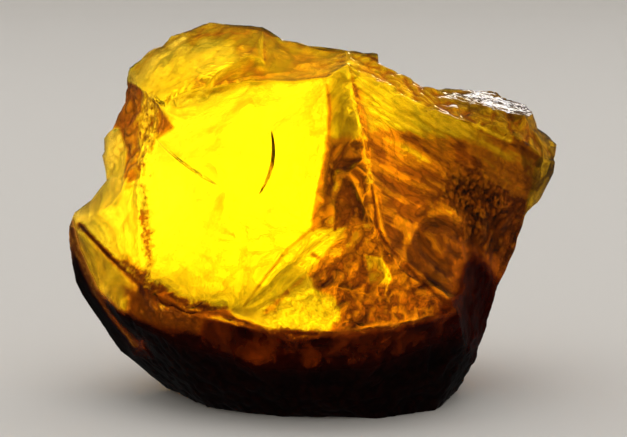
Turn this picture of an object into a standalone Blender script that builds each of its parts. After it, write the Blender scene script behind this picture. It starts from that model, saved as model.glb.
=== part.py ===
"""A raw amber piece: one solid lump of fossil resin in metres, +Z up, its front facing -Y.

The front is split by broad, shell-like fractures that meet in sharp, chipped ridges. The back and
the shelf on top keep their natural crust. The stone rests on a small flat face underneath.
"""

import math
import random

import bmesh
import bpy
from mathutils import Matrix, Vector, kdtree, noise

# Driving dimensions, in metres
WIDTH = 0.066
DEPTH = 0.0445
HEIGHT = 0.0495

# How the surface is worked, in millimetres
FRONT_FACE_SIZE = 1.3
BACK_FACE_SIZE = 2.3
SOFTNESS_FROM_RIDGE = 4.5
RIDGE_WAVE = 6.0
RIDGE_CHIPPING = 2.2
LUMP_SIZE = 5.5
STREAK_WIDTH = 3.2
STREAK_DEPTH = 0.22
STREAK_SLOPE = math.radians(29)
RING_WIDTH = 4.2
RING_DEPTH = 0.3

AMBER_COLOUR = (0.80, 0.42, 0.03, 1.0)
AMBER_ROUGHNESS = 0.12

# The stone's lines, each a run of corners (x right, y back, z up) in millimetres
LINES = {
    # Skyline, from the left shoulder over the crown and down to the shelf
    "crown": [(-24, 1.5, 43), (-21.5, 2.5, 45), (-18.5, 3, 47.5), (-13.5, 3, 49), (-6.5, 3, 48.5),
              (-0.5, 2.5, 46), (5, 2, 45.5), (9, 1.5, 45), (10, 0.5, 43.5), (15.5, 0.5, 40.5),
              (18, 1, 39.5)],
    # Crusted shelf at the upper right: front edge, then back edge
    "shelf": [(23, -2, 38), (28, -1.5, 37), (30, 6, 36.5), (30, 13, 37.5), (26, 16, 39),
              (20, 13, 39.5)],
    # Block one step below the shelf
    "block": [(29.5, 1.5, 35), (31, 9, 34.5), (32.5, 9, 33.5), (33, 5, 32.5), (32.5, 2, 30.5),
              (31, 0, 32.5)],
    # Left outline, from the shoulder down to the foot
    "left": [(-25, 2, 38.5), (-26.5, 2.5, 35), (-28, 5, 33.5), (-28.5, 6, 31.5), (-27.5, 4.5, 28),
             (-29.5, 3, 25.5), (-31.5, 1.5, 24), (-32.5, 1, 22), (-32.5, 1.5, 19.5),
             (-31.5, 1, 14.5), (-29.5, 0.5, 11), (-25.5, 0, 5.5)],
    # Lip under the clear faces, left to right
    "lip": [(-29.5, -3.5, 22), (-27, -7, 19.5), (-22, -12.5, 17), (-19.5, -15.5, 15.5),
            (-15.5, -18, 14), (-11.5, -19.5, 14.5), (-7, -21, 13), (-2, -22, 12), (2.5, -22, 12.5),
            (5.5, -22, 13), (10.5, -21, 13.5), (15, -19, 13.5), (18.5, -16, 14)],
    # Broken corner at the right end of the lip
    "corner": [(19, -14, 16), (19.5, -11, 18.5), (22, -7.5, 18.5), (24.5, -3.5, 14.5)],
    # Straight edge down the right side
    "edge": [(30.5, -1.5, 31.5), (30, 0, 28.5), (28.5, 0.5, 23.5), (26.5, -1.5, 18.5),
             (23, -4, 9), (21.5, -3.5, 4.5)],
    "sliver": [(32.5, 3.5, 29), (31, 4, 25.5)],
    # Main ridge, from the top down to the right end of the lip
    "ridge": [(4.5, -4.5, 44), (5, -9.5, 40.5), (6, -14, 37), (6.5, -16.5, 33.5), (7, -18, 30),
              (8, -19.5, 25), (9.5, -20.5, 21.5), (12.5, -20, 19), (15, -18.5, 17), (17, -17, 15.5)],
    # Seam between the broad clear face and the strip beside the ridge
    "seam": [(2, -8, 42.5), (1.5, -11.5, 38), (1.5, -13.5, 34), (0.5, -15, 29.5), (0, -15.5, 27.5),
             (-0.5, -16, 24.5)],
    "arch": [(2.5, -15.5, 28), (3, -16.5, 31), (4.5, -17.5, 31.5), (5.5, -18, 29.5), (7, -19, 26),
             (4, -17, 24.5)],
    "tongue": [(2, -16.5, 25), (-3.5, -16.5, 22), (-5.5, -18, 19), (-8.5, -19.5, 15),
               (-6.5, -20.5, 15), (-3.5, -20, 18), (-0.5, -19.5, 20), (1, -18.5, 22.5)],
    "plate": [(4, -18.5, 23), (6.5, -19.5, 23), (8.5, -20.5, 21.5), (9, -21, 19), (7, -21.5, 17),
              (3, -21, 18), (-0.5, -20.5, 18.5)],
    "lobe": [(3, -22, 15.5), (9.5, -21.5, 16.5)],
    # Lower edge of the cap, right to left
    "cap": [(-8, -5, 45), (-11, -7.5, 43.5), (-14, -9.5, 41), (-17, -8.5, 40), (-20, -6, 39),
            (-22.5, -1.5, 41)],
    "chip": [(-6.5, -5, 44.5), (-6.5, -0.5, 47)],
    "soft": [(-7.5, -9, 42), (-2, -9, 42)],
    # Left edge of the broad clear face
    "vein": [(-17.5, -8, 36.5), (-20, -6.5, 35), (-21.5, -7, 32), (-22, -8, 28), (-22, -9.5, 22.5),
             (-21.5, -11.5, 18.5)],
    "wing": [(-24, -4.5, 30), (-24.5, -4.5, 27.5), (-26, -3.5, 25.5), (-28.5, -1, 24)],
    "brown": [(-23, -2, 35.5), (-21.5, -4.5, 34)],
    "bump": [(-25, 1, 33.5), (-25.5, 1, 31)],
    # Edge of the chipped brow under the skyline, left to right
    "brow": [(10, -5.5, 41.5), (13.5, -6, 39), (19, -6.5, 37), (23.5, -5.5, 36), (27.5, -4, 34)],
    # Turn between the dark band and the undercut foot, left to right
    "skirt": [(-24.5, -9, 12), (-18, -15, 9.5), (-10.5, -18, 8), (-1.5, -19, 7), (7, -18.5, 7),
              (14.5, -15.5, 8), (19.5, -11.5, 8.5)],
    "olive": [(-27, -5.5, 15), (-30, -1.5, 18.5)],
    # Flat face that the stone rests on
    "base": [(-19, 0, 0), (-13.5, -10, 0), (-3.5, -14.5, 0), (8, -15, 0), (16, -11, 0),
             (19.5, -1, 0), (17, 10.5, 0), (8, 16, 0), (-4, 16.5, 0), (-14, 11.5, 0)],
    # Corners of the crusted back, from the top row down
    "back": [(-18, 11, 38.5), (-6, 15, 42), (7, 15.5, 39), (-25, 12.5, 27), (-10, 21, 28),
             (7, 22, 27), (24, 19, 24.5), (-21.5, 14, 13.5), (-6, 21, 12), (11, 20.5, 11),
             (23.5, 13.5, 13)],
}

# Each facet: the corners round it, its hollow and the height of its lumps, in millimetres
FACETS = {
    "cap": ("crown0-4 cap0-5", -0.4, 0.4),
    "chip": ("crown4 chip1 chip0 cap0", 0.0, 0.0),
    "chamfer": ("crown4-6 ridge0 seam0 soft1 soft0 cap2 cap1 cap0 chip0 chip1", 1.2, 0.2),
    "clear": ("cap2 soft0 soft1 seam0-5 tongue1-3 lip5-3 vein5-0 cap4 cap3", 0.5, 0.0),
    "brown": ("crown0 cap5 cap4 vein0 vein1 brown1 brown0 left1 left0", 0.5, 0.35),
    "vein": ("left1 brown0 brown1 vein1 vein2 wing0 left4 bump1 bump0", 0.5, 0.25),
    "bump": ("left1 bump0 bump1 left4-2", -0.5, 0.1),
    "wing": ("left4 wing0-3 left6 left5", 0.4, 0.1),
    "left_clear": ("vein2-5 lip3-0 left6 wing3-0", 0.9, 0.1),
    "strip": ("seam0 ridge0-3 arch2-0 seam4-1", 0.9, 0.2),
    "strip_foot": ("seam4 arch0 arch5 tongue0 seam5", 0.2, 0.0),
    "strip_side": ("ridge3-5 arch4-2", 0.2, 0.1),
    "arch": ("arch0-5", 1.3, 0.0),
    "tongue": ("arch5 tongue7-1 seam5 tongue0", 1.1, 0.1),
    "knob": ("arch5 arch4 ridge5 plate1 plate0 tongue7", -0.4, 0.3),
    "plate": ("tongue7 plate0-6 tongue6", 0.8, 0.4),
    "pitted": ("tongue5 tongue6 plate6 plate5 lobe0 lip8-6 tongue4", -0.6, 0.5),
    "under_tongue": ("tongue3 tongue4 lip6 lip5", 0.0, 0.1),
    "ledges": ("plate5 plate4 lobe1 lip10-8 lobe0", 0.6, 0.8),
    "trough": ("ridge5-9 lip12-10 lobe1 plate4-1", 0.5, 0.2),
    "streaked": ("ridge0 brow0-4 edge0-3 corner3-0 ridge9-1", 0.9, 0.15),
    "corner": ("lip12 ridge9 corner0-3 edge4 skirt6", 0.7, 0.2),
    "brow": ("crown6-9 brow1 brow0 ridge0", 0.4, 0.3),
    "brow_end": ("crown9 crown10 shelf0 shelf1 block0 block5 edge0 brow4-1", 0.5, 0.25),
    "shelf": ("crown10 shelf5-0", 0.1, 0.5),
    "riser": ("shelf1 shelf2 block1 block0", 0.0, 0.1),
    "block_top": ("block0-3 block5", 0.0, 0.3),
    "block_side": ("block5 block3 block4 edge0", 0.0, 0.0),
    "sliver": ("edge0 block4 sliver0 sliver1 edge2 edge1", -0.3, 0.0),
    "olive": ("left7 lip0-2 skirt0 olive0 olive1", 0.3, 0.1),
    "lip_tip": ("left6 lip0 left7", 0.0, 0.0),
    "dark_left": ("left7 olive1 olive0 skirt0 skirt1 base1 base0 left11-8", -0.4, 0.4),
    "band_left": ("lip2-6 skirt2-0", 0.6, 0.2),
    "band_right": ("lip6-12 skirt6-2", 0.8, 0.2),
    "foot_left": ("skirt1 skirt2 base2 base1", -0.6, 0.3),
    "foot": ("skirt2-4 base3 base2", -0.8, 0.3),
    "foot_right": ("skirt4-6 base4 base3", -0.6, 0.3),
    "foot_side": ("skirt6 edge4 edge5 base5 base4", -0.3, 0.3),
    "base": ("base0-9", 0.0, 0.0),
    "back_cap": ("crown0-3 back1 back0", -0.8, 0.7),
    "back_top": ("crown3-5 back2 back1", 0.9, 0.5),
    "back_brow": ("crown5-10 shelf5 back2", 0.8, 0.5),
    "back_shelf": ("shelf5 shelf4 back6 back5 back2", 1.2, 0.4),
    "back_step": ("shelf4-2 block1 block2 back6", 0.4, 0.4),
    "back_right": ("block2-4 sliver0 sliver1 edge2 edge3 back10 back6", 0.5, 0.5),
    "back_edge": ("edge3 corner3 edge4 edge5 base5 base6 back10", -0.6, 0.4),
    "back_low_right": ("back6 back10 base6 base7 back9 back5", -0.8, 0.8),
    "back_middle": ("back5 back9 back8 back4", 1.6, 0.3),
    "back_low": ("back9 base7 base8 back8", -0.5, 0.8),
    "back_left": ("back4 back8 back7 back3", 1.0, 0.6),
    "back_low_left": ("back8 base8 base9 back7", -0.5, 0.7),
    "back_high_left": ("back0 back1 back4 back3", -0.8, 0.8),
    "back_high": ("back1 back2 back5 back4", 0.6, 0.7),
    "side_high": ("crown0 left0-3 back3 back0", -0.4, 0.5),
    "side": ("left3-8 back7 back3", -0.5, 0.6),
    "side_low": ("left8-11 base0 base9 back7", -0.6, 0.5),
}

# How far a line wanders between its corners, in millimetres; a line not named has DEFAULT_WANDER
DEFAULT_WANDER = 0.35
WANDER = {"ridge": 0.75, "lip": 0.6, "brow": 0.5, "edge": 0.15, "sliver": 0.15, "soft": 0.2,
          "back": 1.0, "base": 0.5, "skirt": 0.6, "seam": 0.25, "arch": 0.15, "tongue": 0.15,
          "corner": 0.3, "shelf": 0.5}

# Chips broken from a line: the line, the place along it in corners, radius and depth in millimetres
CHIPS = [
    ("ridge", 0.6, 2.4, 0.5), ("ridge", 1.4, 2.0, 0.7), ("ridge", 2.5, 2.6, 0.8),
    ("ridge", 3.4, 1.9, 0.6), ("ridge", 4.4, 2.2, 0.8), ("ridge", 5.5, 2.0, 0.7),
    ("ridge", 7.4, 2.4, 0.6), ("lip", 3.3, 2.6, 0.8), ("lip", 5.3, 2.2, 0.8),
    ("lip", 7.5, 2.0, 0.6), ("lip", 8.8, 1.5, 0.9), ("lip", 10.6, 3.0, 0.9),
    ("brow", 0.4, 2.2, 0.7), ("brow", 1.3, 1.8, 0.5), ("brow", 3.1, 7.0, 0.9),
    ("crown", 7.6, 2.0, 0.6), ("crown", 8.6, 1.6, 0.5), ("crown", 1.6, 2.2, 0.5),
    ("crown", 4.5, 3.5, 0.5), ("left", 2.6, 2.0, 0.4), ("cap", 3.5, 2.0, 0.5),
    ("shelf", 0.6, 2.4, 0.6), ("shelf", 3.5, 4.0, 1.2), ("back", 1.5, 5.0, 1.2),
    ("skirt", 3.4, 3.4, 0.7), ("skirt", 5.2, 3.0, 0.6), ("back", 4.5, 6.0, 1.4),
]

LEAN_OF_STREAKS = Vector((math.sin(STREAK_SLOPE), 0.0, math.cos(STREAK_SLOPE)))
RING_CENTRE = Vector((15.5, -13.0, 22.0))
STREAKS_END_HEIGHT = 25.0
STREAKS_FADE = 5.0

# Facets that are seen from behind or below, and the weathered ones among them
COARSE_FACETS = ("base", "back", "side")
CRUST_FACETS = ("back", "side", "shelf", "dark", "foot")
PIT_COUNT = 46
PIT_RADIUS = (1.6, 3.4)
PIT_DEPTH = (0.25, 0.6)
PIT_SEED = 11
WANDER_SEED = 5


def corner_names(ring):
    """The corners that a facet's ring names: 'lip3-0' stands for lip3 lip2 lip1 lip0."""
    names = []
    for word in ring.split():
        line = word.rstrip("0123456789-")
        ends = [int(number) for number in word[len(line):].split("-")]
        step = 1 if ends[-1] >= ends[0] else -1
        names += [(line, place) for place in range(ends[0], ends[-1] + step, step)]
    return names


def place_facets(bm, facet_of, wander_of):
    """Adds one vertex for each corner and one many-sided face for each facet."""
    corners = {}
    for line, points in LINES.items():
        for place, point in enumerate(points):
            vert = bm.verts.new(point)
            vert[wander_of] = WANDER.get(line, DEFAULT_WANDER)
            corners[line, place] = vert
    for number, (ring, _, _) in enumerate(FACETS.values()):
        face = bm.faces.new([corners[name] for name in corner_names(ring)])
        face[facet_of] = number


def is_ridge(edge, facet_of):
    """True where two different facets meet."""
    first, second = edge.link_faces
    return first[facet_of] != second[facet_of]


def ridge_verts(bm, facet_of):
    """The vertices that lie on the border of a facet."""
    return {vert for edge in bm.edges if is_ridge(edge, facet_of) for vert in edge.verts}


def relax(bm, facet_of, rounds):
    """Evens out the inside of every facet, so that it spans its border like a film."""
    fixed = ridge_verts(bm, facet_of)
    inside = [vert for vert in bm.verts if vert not in fixed]
    for _ in range(rounds):
        bmesh.ops.smooth_vert(bm, verts=inside, factor=0.5,
                              use_axis_x=True, use_axis_y=True, use_axis_z=True)


def split_long_edges(bm, facet_of, sizes):
    """Halves the edges much longer than a facet's face size and turns the new diagonals to suit."""
    long_edges = [edge for edge in bm.edges
                  if edge.calc_length() > 1.4 * min(sizes[face[facet_of]]
                                                    for face in edge.link_faces)]
    bmesh.ops.subdivide_edges(bm, edges=long_edges, cuts=1)
    bmesh.ops.triangulate(bm, faces=bm.faces[:])
    inner = [edge for edge in bm.edges if not is_ridge(edge, facet_of)]
    bmesh.ops.beautify_fill(bm, faces=bm.faces[:], edges=inner, method="AREA")


def fill_facets(bm, facet_of):
    """Covers each facet with even triangles, smaller on the front than on the back."""
    sizes = [BACK_FACE_SIZE if name.startswith(COARSE_FACETS) else FRONT_FACE_SIZE
             for name in FACETS]
    bmesh.ops.triangulate(bm, faces=bm.faces[:])
    for coarseness in (6.0, 3.0, 1.7, 1.0, 1.0):
        split_long_edges(bm, facet_of, [coarseness * size for size in sizes])
        relax(bm, facet_of, 6)


def wander_ridges(bm, facet_of, wander_of):
    """Bends the straight borders into broken lines; the resting face stays flat."""
    noise.seed_set(WANDER_SEED)
    for vert in ridge_verts(bm, facet_of):
        reach = vert[wander_of]
        bend = noise.noise_vector(vert.co / RIDGE_WAVE) * reach
        bend += noise.noise_vector(vert.co / RIDGE_CHIPPING) * reach * 0.45
        if vert.co.z < 0.01:
            bend.z = 0.0
        vert.co += bend


def facet_frames(bm, facet_of):
    """Each facet's mean normal, area-weighted."""
    normals = [Vector() for _ in FACETS]
    for face in bm.faces:
        normals[face[facet_of]] += face.normal * face.calc_area()
    return [normal.normalized() for normal in normals]


def streaks(point):
    """Height of the parallel streaks that run down to the right."""
    across = point.dot(LEAN_OF_STREAKS) / STREAK_WIDTH
    along = Vector((across * 2.0, point.x * 0.05, 0.0))
    return STREAK_DEPTH * (math.sin(math.tau * across) + 1.5 * noise.noise(along))


def rings(point):
    """Height of the rings round the place where the blow fell."""
    reach = (point - RING_CENTRE).length
    return RING_DEPTH * math.sin(math.tau * reach / RING_WIDTH) * math.exp(-reach / 12.0)


def streaks_over_rings(point):
    """Streaks on the upper part of the right-hand face, which give way to rings lower down."""
    upper = min(max((point.z - STREAKS_END_HEIGHT) / STREAKS_FADE, 0.0), 1.0)
    return streaks(point) * upper + rings(point) * (1.0 - upper)


def shape_facets(bm, facet_of):
    """Hollows or swells each facet between its borders and gives it its lumps and ripples."""
    bm.normal_update()
    normals = facet_frames(bm, facet_of)
    border = ridge_verts(bm, facet_of)
    tree = kdtree.KDTree(len(border))
    for index, vert in enumerate(border):
        tree.insert(vert.co, index)
    tree.balance()
    facets = list(FACETS.items())
    moves = {}
    for vert in bm.verts:
        if vert in border:
            continue
        number = vert.link_faces[0][facet_of]
        name, (_, hollow, lump) = facets[number]
        distance = tree.find(vert.co)[2]
        share = distance / (distance + SOFTNESS_FROM_RIDGE)
        height = -hollow * share * 1.6
        height += lump * share * noise.fractal(vert.co / LUMP_SIZE, 0.8, 2.1, 4) * 1.5
        if name == "streaked":
            height += share * streaks_over_rings(vert.co)
        moves[vert] = normals[number] * height
    for vert, move in moves.items():
        vert.co += move


def press_scar(bm, place, normal, radius, depth):
    """Presses a round scar of that radius and depth into the stone; the resting face is spared."""
    centre = place + normal * (radius - depth)
    for vert in bm.verts:
        away = vert.co - centre
        if vert.co.z > 0.5 and 0.0 < away.length < radius:
            vert.co = centre + away * (radius / away.length)


def break_chips(bm):
    """Breaks a chip out of each line where one came off."""
    bm.normal_update()
    tree = kdtree.KDTree(len(bm.verts))
    for index, vert in enumerate(bm.verts):
        tree.insert(vert.co, index)
    tree.balance()
    bm.verts.ensure_lookup_table()
    for line, place, radius, depth in CHIPS:
        start = int(place)
        near = Vector(LINES[line][start]).lerp(Vector(LINES[line][start + 1]), place - start)
        vert = bm.verts[tree.find(near)[1]]
        press_scar(bm, vert.co.copy(), vert.normal.copy(), radius, depth)


def pit_crust(bm, facet_of):
    """Dots the crusted facets with shallow round pits."""
    bm.normal_update()
    names = list(FACETS)
    crust = [face for face in bm.faces if names[face[facet_of]].startswith(CRUST_FACETS)]
    chance = random.Random(PIT_SEED)
    for _ in range(PIT_COUNT):
        face = chance.choice(crust)
        radius = chance.uniform(*PIT_RADIUS)
        depth = chance.uniform(*PIT_DEPTH)
        press_scar(bm, face.calc_center_median(), face.normal.copy(), radius, depth)


def fit_to_size(bm):
    """Scales the stone to its driving dimensions and sets its origin under its middle."""
    low = Vector([min(vert.co[axis] for vert in bm.verts) for axis in range(3)])
    high = Vector([max(vert.co[axis] for vert in bm.verts) for axis in range(3)])
    foot = Vector(((low.x + high.x) / 2, (low.y + high.y) / 2, low.z))
    size = (WIDTH, DEPTH, HEIGHT)
    scale = Matrix.Diagonal([size[axis] / (high[axis] - low[axis]) for axis in range(3)])
    for vert in bm.verts:
        vert.co = scale @ (vert.co - foot)


def amber_material():
    """Fossil resin, seen from outside as one warm colour."""
    material = bpy.data.materials.new("amber")
    material.use_nodes = True
    shader = material.node_tree.nodes["Principled BSDF"]
    shader.inputs["Base Color"].default_value = AMBER_COLOUR
    shader.inputs["Roughness"].default_value = AMBER_ROUGHNESS
    shader.inputs["Metallic"].default_value = 0.0
    return material


def make_amber():
    """The whole stone as one closed object."""
    bm = bmesh.new()
    facet_of = bm.faces.layers.int.new("facet")
    wander_of = bm.verts.layers.float.new("wander")
    place_facets(bm, facet_of, wander_of)
    bmesh.ops.recalc_face_normals(bm, faces=bm.faces[:])
    fill_facets(bm, facet_of)
    wander_ridges(bm, facet_of, wander_of)
    relax(bm, facet_of, 25)
    shape_facets(bm, facet_of)
    break_chips(bm)
    pit_crust(bm, facet_of)
    fit_to_size(bm)
    mesh = bpy.data.meshes.new("amber")
    bm.to_mesh(mesh)
    bm.free()
    stone = bpy.data.objects.new("amber", mesh)
    bpy.context.scene.collection.objects.link(stone)
    mesh.materials.append(amber_material())
    return stone


def main():
    for old in list(bpy.data.objects):
        bpy.data.objects.remove(old)
    make_amber()


if __name__ == "__main__":
    main()
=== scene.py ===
"""Dresses the raw amber piece: cracked, streaked and crusted fossil resin, lit from behind.

Laid out as an add-on: sizes and colours are properties, and each piece has its own operator.
"""

import math

import bpy
import numpy as np
from mathutils import Matrix, Vector, noise


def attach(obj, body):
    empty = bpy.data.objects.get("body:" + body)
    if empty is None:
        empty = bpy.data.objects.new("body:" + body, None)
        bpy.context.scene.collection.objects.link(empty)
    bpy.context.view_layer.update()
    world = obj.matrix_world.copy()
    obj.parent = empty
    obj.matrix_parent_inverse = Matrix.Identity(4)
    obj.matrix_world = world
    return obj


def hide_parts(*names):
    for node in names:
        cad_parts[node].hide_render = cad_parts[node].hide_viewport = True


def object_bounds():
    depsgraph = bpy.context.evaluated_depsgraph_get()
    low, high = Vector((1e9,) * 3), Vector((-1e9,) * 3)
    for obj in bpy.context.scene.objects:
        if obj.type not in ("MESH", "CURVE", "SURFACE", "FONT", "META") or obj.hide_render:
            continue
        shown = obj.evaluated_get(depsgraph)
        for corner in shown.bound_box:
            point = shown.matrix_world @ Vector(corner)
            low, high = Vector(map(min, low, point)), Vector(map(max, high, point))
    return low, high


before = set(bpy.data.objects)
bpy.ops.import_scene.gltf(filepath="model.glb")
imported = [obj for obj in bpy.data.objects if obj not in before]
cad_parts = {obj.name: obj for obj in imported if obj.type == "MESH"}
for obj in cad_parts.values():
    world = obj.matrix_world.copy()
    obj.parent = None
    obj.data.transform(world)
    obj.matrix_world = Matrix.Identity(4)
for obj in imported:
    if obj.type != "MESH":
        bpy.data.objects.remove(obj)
CAD_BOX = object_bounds()

bl_info = {
    "name": "Raw amber piece",
    "version": (1, 0, 0),
    "blender": (4, 5, 0),
    "location": "3D View > Sidebar > Amber",
    "description": "Builds a rough lump of clear amber with its cracks, crust and studio",
    "category": "Object",
}

MM = 0.001

# The solid that is dressed, and the finished stone
NODE = "amber"
STONE = "amber_stone"

# The front view in which areas, marks and cracks are placed: its width and height in pixels, the
# width of its camera's sensor in millimetres, and about how many pixels a millimetre covers
FRAME_WIDTH = 627
FRAME_HEIGHT = 437
SENSOR_WIDTH = 36.0
PIXELS_PER_MM = 7.5

# The studio's floor and the wall that it sweeps up into
COVE_RADIUS = 2.4
COVE_BEND = 0.8
COVE_STEPS = 12
COVE_HEIGHT = 3.0

# Four broad lights that make floor and wall even: how far from straight down each leans, how
# wide it looks and how strong it is
WASH_LEAN = math.radians(55)
WASH_SPREAD = math.radians(120)
WASH_STRENGTH = 1.1

# The area lights: name, place, aim, width, height and watts. All but the softbox light the stone
# alone
SOFTBOX = "softbox"
RIM = "rim"
CRUST_FILL = "crust_fill"
LAMPS = (
    ("back_panel", (-0.024, 0.032, 0.03), (-0.024, 0.0, 0.03), 0.10, 0.10, 0.074),
    ("back_wide", (-0.020, 0.030, 0.018), (-0.020, 0.0, 0.018), 0.075, 0.07, 0.046),
    ("back_mid", (-0.020, 0.028, 0.014), (-0.020, 0.0, 0.014), 0.055, 0.05, 0.032),
    (RIM, (0.07, 0.32, 0.14), (0.02, 0.0, 0.03), 0.07, 0.05, 0.035),
    (CRUST_FILL, (0.10, 0.45, 0.30), (0.0, 0.0, 0.02), 0.3, 0.3, 2.5),
    (SOFTBOX, (0.0, 0.10, 0.70), (0.0, 0.10, 0.0), 0.9, 0.9, 0.65),
)


class StoneSettings(bpy.types.PropertyGroup):
    """Sizes of the stone's fine surface and the colours of its resin."""

    ridge_angle: bpy.props.FloatProperty(
        name="Ridge angle", description="Faces that meet more sharply than this keep their edge",
        default=math.radians(24), subtype="ANGLE")
    resin_ior: bpy.props.FloatProperty(
        name="Refraction", description="Index of refraction of the resin",
        default=1.54)
    honey: bpy.props.StringProperty(
        name="Honey", description="Colour of the clearest resin, as sRGB hex",
        default="#FFF468")
    gold: bpy.props.StringProperty(
        name="Gold", description="Colour of the faintly cloudy resin, as sRGB hex",
        default="#A48C08")
    orange: bpy.props.StringProperty(
        name="Orange", description="Colour halfway between the clearest and the darkest, as sRGB hex",
        default="#8E4403")
    cognac: bpy.props.StringProperty(
        name="Cognac", description="Colour of the deep resin, as sRGB hex",
        default="#380E00")
    mahogany: bpy.props.StringProperty(
        name="Mahogany", description="Colour of the darkest resin, as sRGB hex",
        default="#0E0200")
    soak: bpy.props.StringProperty(
        name="Soak", description="Colour that light takes on deep in the resin, as sRGB hex",
        default="#FEFC00")
    tan: bpy.props.StringProperty(
        name="Tan", description="Colour of the thinnest oxidised film, as sRGB hex",
        default="#7A2A04")
    # Also painted shade: this darkest film covers the lower band and the foot
    rust_and_shade: bpy.props.StringProperty(
        name="Rust", description="Colour of the oxidised film, as sRGB hex",
        default="#2E0400")
    crust: bpy.props.StringProperty(
        name="Crust", description="Colour of the weathered crust, as sRGB hex",
        default="#D2902C")
    rind: bpy.props.StringProperty(
        name="Rind", description="Colour of the crust's brown patches, as sRGB hex",
        default="#6A300C")


class StudioSettings(bpy.types.PropertyGroup):
    """Camera, floor and lights."""

    lens: bpy.props.FloatProperty(
        name="Lens", description="Focal length of the camera, in millimetres",
        default=100.0)
    distance: bpy.props.FloatProperty(
        name="Distance", description="From the camera to the point it aims at",
        default=0.233, unit="LENGTH")
    elevation: bpy.props.FloatProperty(
        name="Elevation", description="How far the camera looks down",
        default=math.radians(8), subtype="ANGLE")
    aim_height: bpy.props.FloatProperty(
        name="Aim height", description="Height of the point that the camera aims at",
        default=23.5 * MM, unit="LENGTH")
    floor: bpy.props.StringProperty(
        name="Floor", description="Colour of the pale floor, as sRGB hex",
        default="#DCD8D2")
    air: bpy.props.StringProperty(
        name="Air", description="Colour of the faint light from all round, as sRGB hex",
        default="#BDBBB8")
    air_strength: bpy.props.FloatProperty(
        name="Air strength", description="How strong the faint light from all round is",
        default=0.08)


def linear(code):
    """Turns an sRGB hex colour such as '#FFCC00' into linear red, green, blue and alpha."""
    shares = [int(code[at:at + 2], 16) / 255 for at in (1, 3, 5)]
    curve = [share / 12.92 if share <= 0.04045 else ((share + 0.055) / 1.055) ** 2.4
             for share in shares]
    return (*curve, 1.0)


def add_node(tree, kind, inputs=None, **settings):
    """Adds a shader node, sets it, and sets or links its inputs."""
    node = tree.nodes.new(kind)
    for name, value in settings.items():
        setattr(node, name, value)
    for socket, value in (inputs or {}).items():
        if isinstance(value, bpy.types.NodeSocket):
            tree.links.new(value, node.inputs[socket])
        else:
            node.inputs[socket].default_value = value
    return node


def new_material(name):
    """An empty node material and its output node."""
    material = bpy.data.materials.new(name)
    material.use_nodes = True
    material.node_tree.nodes.clear()
    return material, material.node_tree.nodes.new("ShaderNodeOutputMaterial")


def make_active(piece):
    """Selects one object alone."""
    bpy.ops.object.select_all(action="DESELECT")
    piece.select_set(True)
    bpy.context.view_layer.objects.active = piece


def apply_modifier(piece, kind, name, **settings):
    """Adds a modifier to a piece, sets it and applies it."""
    make_active(piece)
    modifier = piece.modifiers.new(name, kind)
    for setting, value in settings.items():
        setattr(modifier, setting, value)
    bpy.ops.object.modifier_apply(modifier=name)


# ---------------------------------------------------------------- places on the front

def eye_frame():
    """The front camera's place, and its right, up and forward directions."""
    studio = bpy.context.scene.amber_studio
    forward = Vector((0.0, math.cos(studio.elevation), -math.sin(studio.elevation)))
    up = Vector((0.0, math.sin(studio.elevation), math.cos(studio.elevation)))
    eye = Vector((0.0, 0.0, studio.aim_height)) - forward * studio.distance
    return eye, Vector((1.0, 0.0, 0.0)), up, forward


def focal_pixels():
    """The front camera's focal length, in pixels of its view."""
    return bpy.context.scene.amber_studio.lens / SENSOR_WIDTH * FRAME_WIDTH


def front_view(points):
    """Where points show in the front view, in pixels across and down."""
    eye, right, up, forward = (np.array(part) for part in eye_frame())
    focal = focal_pixels()
    offset = points - eye
    depth = offset @ forward
    across = FRAME_WIDTH / 2 + focal * (offset @ right) / depth
    down = FRAME_HEIGHT / 2 - focal * (offset @ up) / depth
    return np.stack([across, down], axis=1)


def distance_to_line(places, line):
    """How far each place is from a run of straight pieces, in pixels."""
    nearest = np.full(len(places), np.inf)
    for start, end in zip(line[:-1], line[1:]):
        start, end = np.array(start, float), np.array(end, float)
        along = end - start
        share = np.clip(((places - start) @ along) / (along @ along), 0.0, 1.0)
        gap = np.linalg.norm(places - start - share[:, None] * along, axis=1)
        nearest = np.minimum(nearest, gap)
    return nearest


def inside(places, outline):
    """True for each place that lies inside a closed outline."""
    found = np.zeros(len(places), bool)
    for (x0, y0), (x1, y1) in zip(outline, outline[1:] + outline[:1]):
        if y0 == y1:
            continue
        crosses = (places[:, 1] < y0) != (places[:, 1] < y1)
        x = x0 + (places[:, 1] - y0) * (x1 - x0) / (y1 - y0)
        found ^= crosses & (places[:, 0] < x)
    return found


def area_weight(places, outline, fade):
    """1 inside an outline and 0 outside, with a soft edge that is `fade` pixels wide."""
    gap = distance_to_line(places, outline + outline[:1])
    signed = np.where(inside(places, outline), gap, -gap)
    share = np.clip(signed / fade + 0.5, 0.0, 1.0)
    return share * share * (3 - 2 * share)


def line_weight(places, line, width):
    """1 on a line and 0 beyond half its width, in pixels."""
    share = np.clip(1.0 - distance_to_line(places, line) / (width / 2), 0.0, 1.0)
    return share * share * (3 - 2 * share)


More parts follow.
